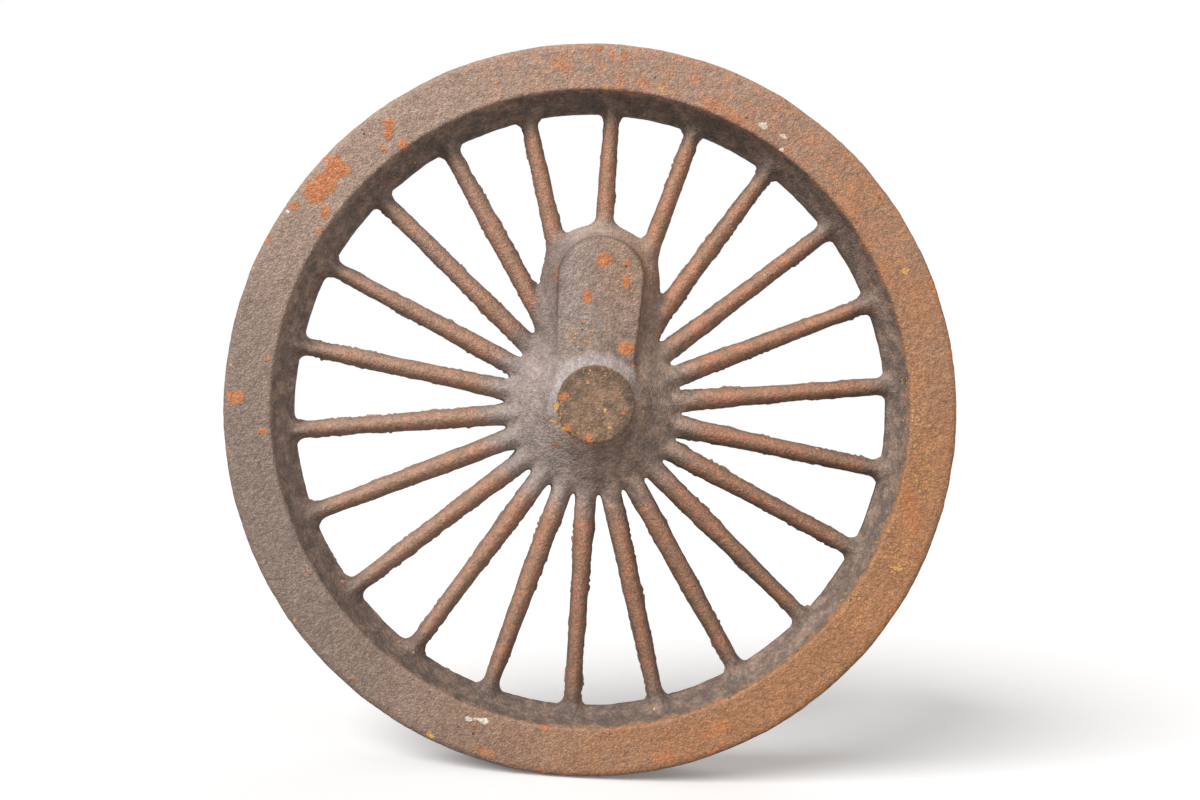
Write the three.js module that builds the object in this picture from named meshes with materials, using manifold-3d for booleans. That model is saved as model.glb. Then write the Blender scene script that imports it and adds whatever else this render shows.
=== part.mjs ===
// A spoked driving-wheel casting for a miniature steam locomotive, as it leaves the sand mould:
// one plain rim, tapered oval spokes, a hub, an axle boss on each side and a crank boss cast on one spoke.
// Millimetres. The wheel turns about Y, the crank side faces -Y, and the crank boss points up, along +Z.
// The origin is the wheel's centre, on the plane y = 0 where the two halves of the mould meet.
import * as THREE from "three";
import { mergeVertices } from "three/addons/utils/BufferGeometryUtils.js";
import Module from "manifold-3d";

// Rim
const RIM_RADIUS = 133.5; // outside, at either face
const RIM_SWELL = 0.5; // how much larger the outside is at the parting plane
const RIM_WIDTH = 28; // from face to face
const RIM_DEPTH_FRONT = 17.6; // radial depth of the front face
const RIM_DEPTH_REAR = 19.9; // radial depth of the rear face
const RIM_DEPTH_PARTING = 22.8; // radial depth at the parting plane, where the rim is thickest
const RIM_CORNER = 1.2; // bevel on the two outer corners

// Spokes, oval in section, deeper than they are wide
const SPOKE_COUNT = 22;
const SPOKE_WIDTH = 8.3; // at the root, inside the hub
const SPOKE_DEPTH = 12.6; // at the root, along the axle
const SPOKE_TAPER = 0.66; // size at the rim as a share of the size at the root

// Axle bosses, one on each side of the hub
const BOSS_PROUD = 4.5; // how far either axle boss stands out past the rim's face
const FRONT_BOSS_RADIUS = 13.5; // at its face
const FRONT_BOSS_ACROSS = 1; // the loose pattern piece sat this far to one side
const FRONT_BOSS_UP = 0.9; // and this far towards the crank boss
const REAR_BOSS_RADIUS = 16; // at its face
const BOSS_DRAFT = 2.4; // how much larger either boss is at its foot

// Hub: an edge band that the spokes grow from, a cone on each side, and a flat seat under each boss
const HUB_HALF_HEIGHT = 11; // of either seat above the parting plane
const HUB_SEAT_MARGIN = 0.4; // seat showing round the foot of a boss
const HUB_SHOULDER_HEIGHT = 7; // where the cone meets the edge's slope, above the parting plane
const HUB_SHOULDER_INSET = 5; // of that shoulder from the hub's edge
const HUB_EDGE = 5; // width of the edge band
const WINDOW_CORNER = 0.7; // room left between neighbouring spokes at the hub's edge

// Crank boss: a drafted oblong from the hub out past the crank-pin centre
const CRANK_THROW = 46.8; // from the wheel's centre to the crank-pin centre
const CRANK_PROUD = 1; // how far its front face stands out past the rim's face
const CRANK_FACE_RADIUS = 15.6; // half the width of its flat front face
const CRANK_WAIST_RADIUS = 22.4; // half its width at the parting plane
const CRANK_REAR_RADIUS = 17.8; // half the width of its rear face
const CRANK_REAR_HEIGHT = 11; // of its rear face behind the parting plane

// Making
const GAP = 0.3; // clearance left between neighbouring members of the casting
const RIM_FACETS = 6 * SPOKE_COUNT; // so that each spoke meets the same facets
const BOSS_FACETS = 48;
const SPOKE_FACETS = 14;

const SPOKE_PITCH = (2 * Math.PI) / SPOKE_COUNT;
const RIM_HALF_WIDTH = RIM_WIDTH / 2;
const BOSS_FACE = RIM_HALF_WIDTH + BOSS_PROUD;
const FRONT_BOSS_SHIFT = Math.hypot(FRONT_BOSS_ACROSS, FRONT_BOSS_UP);
const WIDEST_BOSS = Math.max(FRONT_BOSS_RADIUS + FRONT_BOSS_SHIFT, REAR_BOSS_RADIUS) + BOSS_DRAFT;
const HUB_SEAT_RADIUS = WIDEST_BOSS + HUB_SEAT_MARGIN;
const HUB_RADIUS = (SPOKE_WIDTH + WINDOW_CORNER) / (2 * Math.sin(SPOKE_PITCH / 2));

// An iron skin of one colour, dull with rust.
function ironSkin(color, roughness) {
  return new THREE.MeshStandardMaterial({ color, roughness, metalness: 0.3 });
}

const RIM_SKIN = ironSkin(0x7d6a5d, 0.85);
const SPOKE_SKIN = ironSkin(0x7f6455, 0.8);
const HUB_SKIN = ironSkin(0x6d635d, 0.75);
const BOSS_SKIN = ironSkin(0x6f6049, 0.8);

const wasm = await Module();
wasm.setup();

// A closed three.js geometry as a solid that can be joined and cut.
function toSolid(geometry) {
  const bare = geometry.clone();
  bare.deleteAttribute("normal");
  bare.deleteAttribute("uv");
  const merged = mergeVertices(bare, 1e-4);
  const vertProperties = merged.attributes.position.array;
  const triVerts = new Uint32Array(merged.index.array);
  return new wasm.Manifold(new wasm.Mesh({ numProp: 3, vertProperties, triVerts }));
}

// The solid's surface as a three.js geometry.
function toGeometry(solid) {
  const mesh = solid.getMesh();
  const geometry = new THREE.BufferGeometry();
  geometry.setAttribute("position", new THREE.BufferAttribute(mesh.vertProperties, 3));
  geometry.setIndex(new THREE.BufferAttribute(mesh.triVerts, 1));
  geometry.computeVertexNormals();
  return geometry;
}

// A solid of revolution about the axle from [radius, y] pairs that run from -Y to +Y.
function turned(profile, facets) {
  const points = profile.map(([radius, y]) => new THREE.Vector2(radius, y));
  return toSolid(new THREE.LatheGeometry(points, facets));
}

// The rim: a closed section carried round the axle, with its bore made smaller by `grow`.
function rimSolid(grow) {
  const face = RIM_HALF_WIDTH;
  const bore = RIM_RADIUS - RIM_DEPTH_PARTING - grow;
  const section = [
    [bore, 0],
    [RIM_RADIUS - RIM_DEPTH_FRONT - grow, -face],
    [RIM_RADIUS - RIM_CORNER, -face],
    [RIM_RADIUS, RIM_CORNER - face],
    [RIM_RADIUS + RIM_SWELL, 0],
    [RIM_RADIUS, face - RIM_CORNER],
    [RIM_RADIUS - RIM_CORNER, face],
    [RIM_RADIUS - RIM_DEPTH_REAR - grow, face],
    [bore, 0],
  ];
  return turned(section, RIM_FACETS);
}

// The hub: the same edge, cone and seat on either side, swollen by `grow`.
function hubSolid(grow) {
  const half = [
    [HUB_RADIUS + grow, (HUB_EDGE + grow) / 2],
    [HUB_RADIUS - HUB_SHOULDER_INSET + grow, HUB_SHOULDER_HEIGHT + grow],
    [HUB_SEAT_RADIUS + grow, HUB_HALF_HEIGHT + grow],
    [0, HUB_HALF_HEIGHT + grow],
  ];
  const front = half.map(([radius, height]) => [radius, -height]).reverse();
  return turned([...front, ...half], BOSS_FACETS);
}

// An axle boss's drafted disc, standing GAP clear of the hub's seat and swollen by `grow`.
// side is -1 in front and 1 behind.
function axleBoss(faceRadius, side, grow) {
  const foot = side * (HUB_HALF_HEIGHT + GAP - grow);
  const face = side * (BOSS_FACE + grow);
  const upwards = [
    [0, foot],
    [faceRadius + BOSS_DRAFT + grow, foot],
    [faceRadius + grow, face],
    [0, face],
  ];
  return turned(side < 0 ? upwards.reverse() : upwards, BOSS_FACETS);
}

// The front axle boss in its place, a little off the wheel's centre.
function frontAxleBoss(grow) {
  return axleBoss(FRONT_BOSS_RADIUS, -1, grow).translate([FRONT_BOSS_ACROSS, 0, FRONT_BOSS_UP]);
}

// The whole crank oblong: a prism from the axle to the crank-pin centre, and a turned end there
// of the same section, from front face to waist to rear face. It is swollen by `grow`.
function crankOblong(grow) {
  const section = [
    [CRANK_FACE_RADIUS + grow, -RIM_HALF_WIDTH - CRANK_PROUD - grow],
    [CRANK_WAIST_RADIUS + grow, 0],
    [CRANK_REAR_RADIUS + grow, CRANK_REAR_HEIGHT + grow],
  ];
  const mirrored = section.map(([width, y]) => [-width, y]).reverse();
  const outline = new THREE.Shape([...section, ...mirrored].map(([x, y]) => new THREE.Vector2(x, y)));
  const prism = new THREE.ExtrudeGeometry(outline, { depth: CRANK_THROW, bevelEnabled: false });
  const front = section[0][1];
  const rear = section[2][1];
  const end = turned([[0, front], ...section, [0, rear]], BOSS_FACETS).translate([0, 0, CRANK_THROW]);
  return toSolid(prism).add(end);
}

// A tapered oval bar along +Z, from inside the hub to inside the rim.
function spokeBar() {
  const root = HUB_SEAT_RADIUS;
  const tip = RIM_RADIUS - Math.min(RIM_DEPTH_FRONT, RIM_DEPTH_REAR);
  const bar = new THREE.CylinderGeometry(SPOKE_TAPER / 2, 1 / 2, tip - root, SPOKE_FACETS);
  bar.rotateX(Math.PI / 2);
  bar.scale(SPOKE_WIDTH, SPOKE_DEPTH, 1);
  bar.translate(0, 0, (root + tip) / 2);
  return toSolid(bar);
}

const wheel = new THREE.Group();

// Adds one named member of the casting, turned about the axle by `angle`.
function addMember(name, solid, skin, angle = 0) {
  const mesh = new THREE.Mesh(toGeometry(solid), skin);
  mesh.name = name;
  mesh.rotation.y = angle;
  wheel.add(mesh);
}

const hubCutter = hubSolid(GAP);
const crankCutter = crankOblong(GAP);

addMember("rim", rimSolid(0), RIM_SKIN);
addMember("hub", hubSolid(0), HUB_SKIN);
addMember("axle_boss_front", frontAxleBoss(0), BOSS_SKIN);
addMember("axle_boss_rear", axleBoss(REAR_BOSS_RADIUS, 1, 0), BOSS_SKIN);
addMember("crank_boss", crankOblong(0).subtract(hubCutter).subtract(frontAxleBoss(GAP)), HUB_SKIN);

// Each spoke ends at the hub and the rim, and those near the crank boss end on its side.
const plainSpoke = spokeBar().subtract(hubCutter).subtract(rimSolid(GAP));
for (let i = 0; i < SPOKE_COUNT; i += 1) {
  const angle = i * SPOKE_PITCH;
  const turnedBack = crankCutter.rotate([0, -THREE.MathUtils.radToDeg(angle), 0]);
  const name = "spoke_" + String(i + 1).padStart(2, "0");
  addMember(name, plainSpoke.subtract(turnedBack), SPOKE_SKIN, angle);
}

export default wheel;
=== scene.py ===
"""A raw spoked driving-wheel casting for a miniature steam locomotive, in rusted sand-cast iron.

The whole casting is one smooth field, so its fillets run unbroken from piece to piece. Each named piece
is a grid of rays from its own core, followed out to where the field says the iron ends.
"""
import math

import bmesh
import bpy
import numpy as np
from mathutils import Matrix, Vector


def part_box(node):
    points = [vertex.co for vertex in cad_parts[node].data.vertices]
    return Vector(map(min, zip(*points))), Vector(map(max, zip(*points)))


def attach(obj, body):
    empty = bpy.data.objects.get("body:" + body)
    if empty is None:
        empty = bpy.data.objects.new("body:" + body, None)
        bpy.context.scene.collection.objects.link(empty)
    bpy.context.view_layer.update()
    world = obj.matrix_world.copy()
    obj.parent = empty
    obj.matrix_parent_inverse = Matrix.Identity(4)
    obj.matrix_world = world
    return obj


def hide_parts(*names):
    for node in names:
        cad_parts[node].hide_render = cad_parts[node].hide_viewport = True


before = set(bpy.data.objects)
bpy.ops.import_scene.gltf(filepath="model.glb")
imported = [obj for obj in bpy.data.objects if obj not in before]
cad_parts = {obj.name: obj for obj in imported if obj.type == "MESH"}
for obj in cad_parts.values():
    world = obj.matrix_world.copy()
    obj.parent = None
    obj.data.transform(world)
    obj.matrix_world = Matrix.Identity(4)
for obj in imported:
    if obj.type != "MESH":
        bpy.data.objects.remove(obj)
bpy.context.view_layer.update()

bl_info = {
    "name": "Spoked wheel casting",
    "version": (1, 0, 0),
    "blender": (4, 5, 0),
    "location": "3D View > Sidebar > Wheel casting",
    "description": "Builds a raw spoked driving-wheel casting in rusted iron",
    "category": "Add Mesh",
}

MM = 0.001
SPOKES = sorted(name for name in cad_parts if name.startswith("spoke_"))
PITCH = 2 * math.pi / len(SPOKES)
SPOKE_ROOT = 19.2 * MM  # from the axle to where a spoke has its full size
CRANK_START = 8 * MM  # from the axle to where the crank boss's sweep begins
TREAD_FALL = 0.5 * MM  # how much smaller the rim's radius is at its faces than between them
HUB_CONE = (0.476, 0.88)  # out and along the axle, square to the hub's cone
HUB_BEVEL = (0.669, 0.743)  # the same for the slope that runs down to its edge
HUB_BAND = 2.5 * MM  # half the height of its edge
HUB_EASE = 5 * MM  # rounding between its slopes
PAD_WAIST = 0.06  # how much the crank pad narrows on either side, for each unit towards the axle
PAD_EDGE = 0.9 * MM  # rounding of the pad's edge
SKIRT_TOP = 8.6 * MM  # how far the skirt round the pad stands in front of the parting plane
SKIRT_SHOULDER = 4.5 * MM  # height at which it starts to turn over
DRAFT = 0.2  # slope of the crank boss's flanks, which lets the pattern leave the mould
FOOT = 4 * MM  # how near the parting plane a boss's disc ends, inside the hub
OVERLAP = 1.6 * MM  # how far the rim and the crank boss cover the fillets beside them
FRONT_BOSS_COVER = (20.4 * MM, 8.5 * MM)  # radius and depth that the front axle boss covers
REAR_BOSS_COVER = (19.6 * MM, 9 * MM)
CRANK_COVER = 18 * MM  # height from which the crank boss covers its own surface
HUB_COVER = 34.8 * MM  # radius out to which the hub covers its own surface
HAND_OVER = 0.3 * MM  # half the width over which one piece hands the surface to the next
SINK = 0.08 * MM  # how deep a piece lies under the one that covers it
HALVINGS = 13  # of a ray's span, which find the surface to a few thousandths of a millimetre
CORE_OF_RIM = 11 * MM  # from the tread to the ring that the rim's rays start on
CORE_OF_HUB = 20 * MM  # radius of the ring that the hub's rays start on
RIM_FRONT = 13 * MM  # spots on the rim lie in front of this depth
BOSS_FRONT = 8 * MM  # and those on the hub and bosses in front of this one
GRAIN = 0.8 * MM  # size of a grain of the moulding sand
BUMP = 0.42 * MM  # height of the finest bumps, which are in the material only
FLOOR_SIZE = 8.0  # in metres
FLOOR_BOUNCE, FLOOR_SEEN = 0.3, 0.95  # the floor's shade to the casting and to the camera
FLOOR_GLOW = 0.14  # its own light, as a share of that shade

# Places on the front: across and up from the axle, half width and half height, in millimetres, then a
# lean in degrees. FAINT spots are half as strong, and SPECKLED ones are areas of loose crumbs.
ORANGE_ON_RIM = [
    (-99, 80, 4.6, 4.2, 0), (-105, 71, 4.4, 5.2, 20), (-102, 75.5, 4.4, 4, 0), (-101, 64, 1.5, 3, 0),
    (-112.5, 65, 1.9, 1.5, 0), (-80.5, 96, 2.2, 4, 0), (-82, 88.5, 1.2, 1.2, 0), (-75, 90.5, 1.6, 2.6, 0),
    (-128.5, -5.5, 3.1, 2.8, 0), (-118, -16.5, 1.9, 1.1, 0), (-130, -25, 0.9, 0.9, 0),
    (-6.5, 130.5, 1.2, 1, 0), (3, 128.5, 1, 1.3, 0), (-1.5, 129, 1, 1.4, 0), (-9, -116, 1.4, 1.1, 0)]
FAINT_ON_RIM = [
    (-118, 10, 1, 1.6, 0), (-103, 56.5, 1.3, 2.1, 0), (2, 118.5, 1.4, 3.4, 0), (10.5, 119.5, 3, 1.6, 0),
    (29, 122, 2.4, 1.4, 0), (37, 113, 5.5, 2.8, 20), (45, 109, 4, 2.4, 24), (-20, 124, 4, 2.6, 0),
    (34, -124, 4, 2, -15), (52, -113, 6, 2.6, -25), (-30, -126, 4, 1.6, 10), (118, -30, 3, 9, -12)]
PALE_ON_RIM = [
    (55, 107, 1.8, 1, 20), (63, 103.5, 1.6, 0.7, 40), (62.5, 98.5, 0.8, 0.6, 0),
    (-32, -115, 2.6, 1, 10), (-36.5, -114.5, 1.2, 0.8, 0), (-114.5, 63, 0.6, 0.6, 0)]
OCHRE_ON_RIM = [
    (-3, 115.5, 1, 1.7, 0), (17.5, 117.5, 1.1, 1.1, 0), (110.5, 57.5, 1.1, 1.2, 0),
    (-50, -121.5, 1.8, 1.2, 30), (114.5, -50.5, 1.6, 0.9, 0)]
ORANGE_ON_HUB = [
    (0.5, 53.5, 2.4, 2.8, 0), (9, 53, 1.3, 1.3, 0), (9, 46.5, 1.6, 2.4, 0), (-4.5, 39.5, 1.7, 2.8, 0),
    (11, 22, 3.1, 2.6, 0), (5.5, 17, 1.4, 1, 0), (-16.5, 47, 0.5, 3, 0), (15, 62, 1.3, 1.6, 0),
    (13.5, 15.5, 1, 1, 0), (-12, -15, 1.1, 1, 0), (3, -18.5, 1, 1, 0), (21, 21, 1.2, 1.2, 0)]
OCHRE_ON_HUB = [(15.5, 62.5, 0.9, 1, 0)]
ORANGE_ON_BOSS = [(-0.5, -11, 1.4, 2, 0), (-8.5, -8, 1.8, 1.4, 0), (-10.5, 3, 1.4, 1.8, 30)]
OCHRE_ON_BOSS = [
    (-2.5, 9, 0.6, 0.6, 0), (4.5, -1, 0.6, 0.6, 0), (6.5, -7, 0.6, 0.6, 0), (-13, -0.5, 0.6, 1.4, 0),
    (-13.5, -6, 1.2, 0.5, 0), (-10, -8.5, 0.8, 0.7, 0)]
SPECKLED = [
    (121, -8, 4, 20, -8), (113, -42, 6, 12, -20), (116, 14, 3, 14, 6), (100, -66, 5, 8, 40),
    (8.5, 45.5, 4, 5.5, 0), (-8, 24, 7, 6, 0), (17, 56, 3, 7, 20), (-5, -10.8, 8, 3.4, -20),
    (-12.5, -4, 1.6, 6, 0), (1, 13, 8, 1.4, 0)]

# ---- sizes and colours a user would change

def length(name, text, millimetres):
    """A length property, given in millimetres."""
    return bpy.props.FloatProperty(name=name, description=text, default=millimetres * MM, unit="LENGTH")


def degrees(name, text, value):
    """An angle property, given in degrees."""
    return bpy.props.FloatProperty(name=name, description=text, default=math.radians(value), subtype="ANGLE")


def strength(name, value):
    """The strength of a light."""
    text = f"Strength of the {name.lower()}"
    return bpy.props.FloatProperty(name=name, description=text, default=value, min=0)


def direction(name, toward):
    """The direction a light shines in."""
    text = f"Where the {name.lower()} shines to"
    return bpy.props.FloatVectorProperty(
        name=name + " direction", description=text, default=toward, size=3, subtype="DIRECTION")


def tint(name, text, red, green, blue):
    """A colour property, from sRGB values of 0 to 255."""
    linear = [((c / 255 + 0.055) / 1.055) ** 2.4 for c in (red, green, blue)]
    return bpy.props.FloatVectorProperty(
        name=name, description=text, default=linear, size=3, min=0, max=1, subtype="COLOR")


class CastingShape(bpy.types.PropertyGroup):
    """Sizes of the casting that can't be read off the boxes of its solids."""

    face_depth: length("Front face depth", "Radial depth of the rim's front face", 17.6)
    back_depth: length("Rear face depth", "Radial depth of the rim's rear face", 19.9)
    bore_depth: length("Parting depth", "Radial depth of the rim at the parting plane", 22.8)
    spoke_width: length("Spoke width", "Width of a spoke at its root", 7.8)
    spoke_depth: length("Spoke depth", "Depth of a spoke along the axle at its root", 12.6)
    spoke_taper: bpy.props.FloatProperty(
        name="Spoke taper", description="Size at the rim as a share of the size at the root",
        default=0.73, min=0.1, max=1)
    boss_face: length("Axle boss face", "Radius of the front axle boss at its face", 13.6)
    boss_flare: length("Axle boss flare", "Blend where the front axle boss runs into the hub", 3.2)
    crank_face: length("Crank face", "Half the width of the crank boss's flat face", 15.6)
    rim_fillet: length("Rim fillet", "Blend where a spoke runs into the rim", 4.6)
    hub_fillet: length("Hub fillet", "Blend where the spokes run into the hub", 3.2)
    crank_fillet: length("Crank fillet", "Blend where spokes run into the crank boss", 3.8)
    edge: length("Edge softness", "Rounding of the outer edges", 1.6)
    lip_depth: length("Lip depth", "How deep the bore runs nearly straight behind its front edge", 3.2)
    lip_fall: length("Lip fall", "How far the bore closes in over that depth", 0.4)
    skin: length("Skin height", "Height of the bumps in the sand-cast skin", 0.16)
    flash: length("Flash height", "How far the ragged flash stands out at the parting plane", 0.5)


class IronFinish(bpy.types.PropertyGroup):
    """Colours of the rusted iron skin."""

    iron: tint("Iron", "Grey-brown skin in the bore and on the hub", 136, 118, 107)
    mauve: tint("Mauve brown", "Skin of the rim where it has weathered least", 176, 148, 130)
    brown: tint("Brown rust", "Even brown rust over the skin", 172, 133, 106)
    tan: tint("Tan rust", "Warm rust low on the rim", 176, 124, 86)
    red: tint("Red rust", "Reddish rust on crests", 188, 132, 105)
    orange: tint("Orange rust", "Fresh rust in patches", 208, 128, 78)
    ochre: tint("Ochre rust", "Yellow crumbs", 222, 172, 92)
    # pale also paints a highlight round the top of the crank boss, besides real whitish specks
    pale: tint("Pale specks", "Whitish specks", 236, 222, 205)
    olive: tint("Olive brown", "Skin of the axle boss faces", 120, 99, 78)
    # painted light: this lilac grey stands for sheen on the axle boss's flare and light on the hub's left
    painted_lilac_sheen: tint("Lilac grey", "Smooth flare round the front axle boss", 178, 166, 162)
    # real pits and grain, and also painted shade: the crank pad's edge shadow, the spokes' lower right, the
    # crank skirt's left and the bore
    pits_and_shade: tint("Pits", "Bottoms of pits and folds", 62, 48, 40)


class CastingStage(bpy.types.PropertyGroup):
    """Where the camera stands and how strong the lights are."""

    camera_at: bpy.props.FloatVectorProperty(
        name="Camera position", description="Where the camera stands", size=3, subtype="TRANSLATION",
        unit="LENGTH", default=(-6.2 * MM, -448.5 * MM, -7.6 * MM))
    camera_lean: degrees("Camera lean", "Roll, anticlockwise", 3.87)
    camera_turn: degrees("Camera turn", "How far it looks to the right", 1.24)
    camera_tilt: degrees("Camera tilt", "How far it looks up", 1.29)
    surround: strength("Light from all round", 0.24)
    key: strength("Key light", 3.3)
    fill: strength("Fill light", 0.9)
    back: strength("Back light", 0.35)
    key_toward: direction("Key light", (0.66, 0.8, -0.75))
    fill_toward: direction("Fill light", (-0.85, 0.6, -0.15))
    back_toward: direction("Back light", (-0.2, -0.8, -1.0))


# ---- field of the whole casting

def smooth_min(a, b, band):
    """The lesser of two fields, eased down by a quarter of the band where they are equal."""
    ease = np.clip(1 - np.abs(a - b) / band, 0, 1)
    return np.minimum(a, b) - ease * ease * band / 4


def smooth_max(a, b, band):
    """The greater of two fields, eased up by a quarter of the band where they are equal."""
    return -smooth_min(-a, -b, band)


def step_between(value, low, high):
    """0 below low, 1 above high, with a cubic ease between."""
    t = np.clip((value - low) / (high - low), 0, 1)
    return t * t * (3 - 2 * t)


def slab(across, height, half_width, draft, top, edge):
    """A drafted pad: its half width at the top grows by draft for each unit down, and its edge is eased."""
    flank = (across - half_width - draft * (top - height)) / math.hypot(1, draft)
    return smooth_max(flank, height - top, edge)


def cloud_table(seed):
    """A seeded order of 0 to 255 and a seeded value from -1 to 1 for each."""
    source = np.random.default_rng(seed)
    return source.permutation(256), source.uniform(-1, 1, 256)


ORDER, VALUE = cloud_table(22)


def cloud(points, size):
    """Value noise: seeded values on a cubic lattice of that size, blended between its eight corners
    by the quintic ease 6t^5 - 15t^4 + 10t^3."""
    place = points / size
    cell = np.floor(place).astype(np.int64)
    t = place - cell
    t = t * t * t * (t * (t * 6 - 15) + 10)
    total = np.zeros(points.shape[:-1])
    for corner in range(8):
        offset = np.array([corner & 1, corner >> 1 & 1, corner >> 2 & 1])
        at = (cell + offset) & 255
        pick = ORDER[(ORDER[(ORDER[at[..., 0]] + at[..., 1]) & 255] + at[..., 2]) & 255]
        weight = np.prod(np.where(offset, t, 1 - t), axis=-1)
        total += VALUE[pick] * weight
    return total


class Casting:
    """The casting as a field: about the distance outside the iron, and negative inside it."""

    def __init__(self, shape):
        self.shape = shape
        self.rim_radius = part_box("rim")[1].x
        self.half_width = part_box("rim")[1].y
        self.mouth = self.rim_radius - TREAD_FALL - shape.face_depth
        self.hub_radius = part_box("hub")[1].x
        self.hub_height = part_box("hub")[1].y
        low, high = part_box("axle_boss_front")
        self.boss_at = Vector(((low.x + high.x) / 2, low.y, (low.z + high.z) / 2))
        low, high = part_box("axle_boss_rear")
        self.rear_top = high.y
        self.rear_foot = high.x
        low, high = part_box("crank_boss")
        self.crank_x = (low.x + high.x) / 2
        self.crank_front = low.y
        self.crank_back = high.y
        self.crank_waist = (high.x - low.x) / 2
        self.crank_z = high.z - self.crank_waist

    def rim(self, r, y):
        """Two flat faces, a tread that falls a little to each side, and a bore that slopes from each
        face to a ridge at the parting plane: the greatest of the six distances, eased at the edges."""
        s = self.shape
        outside = self.rim_radius - TREAD_FALL * np.abs(y) / self.half_width
        bore = self.rim_radius - TREAD_FALL - s.bore_depth
        mouth = self.mouth
        front_slope = (mouth - s.lip_fall - bore) / (self.half_width - s.lip_depth)
        rear_slope = (s.bore_depth - s.back_depth) / self.half_width
        front = (bore - front_slope * y - r) / math.hypot(1, front_slope)
        lip = mouth - s.lip_fall * (y + self.half_width) / s.lip_depth - r
        rear = (bore + rear_slope * y - r) / math.hypot(1, rear_slope)
        front = smooth_min(front, lip, 0.5 * MM)
        body = smooth_max(r - outside, np.abs(y) - self.half_width, 2 * s.edge)
        return smooth_max(smooth_max(front, rear, 0.8 * MM), body, 0.7 * MM)

    def spoke(self, across, y, along):
        """An ellipse whose half axes shrink in step along the spoke, as (k0 (k0 - 1)) / k1, where k0 and
        k1 are the point's length over the half axes and over their squares."""
        s = self.shape
        tip = self.rim_radius - s.face_depth
        size = 1 - (1 - s.spoke_taper) * (along - SPOKE_ROOT) / (tip - SPOKE_ROOT)
        a = size * s.spoke_width / 2
        b = size * s.spoke_depth / 2
        k0 = np.hypot(across / a, y / b)
        k1 = np.hypot(across / a**2, y / b**2) + 1e-9
        return k0 * (k0 - 1) / k1

    def spokes(self, x, y, z):
        """The nearest spoke and its two neighbours, joined by a narrow ease."""
        r = np.hypot(x, z)
        angle = np.arctan2(x, z)
        off = angle - np.round(angle / PITCH) * PITCH
        turns = [off + k * PITCH for k in (-1, 0, 1)]
        parts = [self.spoke(r * np.sin(turn), y, r * np.cos(turn)) for turn in turns]
        narrow = 0.6 * self.shape.hub_fillet
        joined = smooth_min(smooth_min(parts[0], parts[1], narrow), parts[2], narrow)
        return np.maximum(joined, r - self.rim_radius + 10 * MM)

    def hub(self, r, y):
        """A disc whose flat sides fall away in two slopes to its edge."""
        height = np.abs(y)
        cone = HUB_CONE[0] * (r - SPOKE_ROOT) + HUB_CONE[1] * (height - self.hub_height)
        slope = HUB_BEVEL[0] * (r - self.hub_radius) + HUB_BEVEL[1] * (height - HUB_BAND)
        edge = smooth_max(r - self.hub_radius, slope, HUB_EASE)
        return smooth_max(smooth_max(cone, edge, HUB_EASE), height - self.hub_height, HUB_EASE)

    def crank(self, x, y, z):
        """A drafted pad over a lower and wider skirt, both swept along the line from the axle to the
        crank-pin centre."""
        along = np.clip(z, CRANK_START, self.crank_z)
        across = np.hypot(x - self.crank_x, z - along)
        s = self.shape
        narrowed = s.crank_face - PAD_WAIST * (self.crank_z - along)
        pad = slab(across, -y, narrowed, DRAFT, -self.crank_front, PAD_EDGE)
        pad = smooth_max(pad, y - FOOT, MM)
        height = np.abs(y)
        flank = across - self.crank_waist + DRAFT * height
        shoulder = (across + height - self.crank_waist - SKIRT_SHOULDER) / math.sqrt(2)
        top = np.where(y < 0, height - SKIRT_TOP, height - self.crank_back)
        skirt = smooth_max(smooth_max(flank, shoulder, 5 * MM), top, 4 * MM)
        return smooth_min(pad, skirt, s.hub_fillet)

    def front_boss(self, x, y, z):
        """The front axle boss: a drafted disc with a crisp edge, a little off the wheel's centre."""
        across = np.hypot(x - self.boss_at.x, z - self.boss_at.z)
        disc = slab(across, -y, self.shape.boss_face, 1.2, -self.boss_at.y, 0.6 * MM)
        return smooth_max(disc, y + FOOT, MM)

    def rear_boss(self, r, y):
        """The rear axle boss: a drafted disc on the axle."""
        disc = slab(r, y, self.rear_foot - 2.4 * MM, 0.33, self.rear_top, self.shape.edge)
        return smooth_max(disc, FOOT - y, MM)

    def whole(self, points):
        """All members joined by smooth minimums, the rim last with its own fillet."""
        x, y, z = np.moveaxis(points, -1, 0)
        r = np.hypot(x, z)
        fillet = self.shape.hub_fillet
        middle = smooth_min(self.hub(r, y), self.spokes(x, y, z), fillet)
        middle = smooth_min(middle, self.crank(x, y, z), self.shape.crank_fillet)
        middle = smooth_min(middle, self.front_boss(x, y, z), self.shape.boss_flare)
        middle = smooth_min(middle, self.rear_boss(r, y), fillet)
        return smooth_min(middle, self.rim(r, y), self.shape.rim_fillet)

    def reach(self, name, points):
        """How far a point lies past the part of the surface that the named piece covers."""
        x, y, z = np.moveaxis(points, -1, 0)
        r = np.hypot(x, z)
        if name == "rim":
            return self.rim(r, y) - OVERLAP
        if name == "axle_boss_front":
            radius, depth = FRONT_BOSS_COVER
            return np.maximum(np.hypot(x - self.boss_at.x, z - self.boss_at.z) - radius, y + depth)
        if name == "axle_boss_rear":
            radius, depth = REAR_BOSS_COVER
            return np.maximum(r - radius, depth - y)
        if name == "crank_boss":
            return np.maximum(self.crank(x, y, z) - OVERLAP, CRANK_COVER - z)
        return r - HUB_COVER

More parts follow.
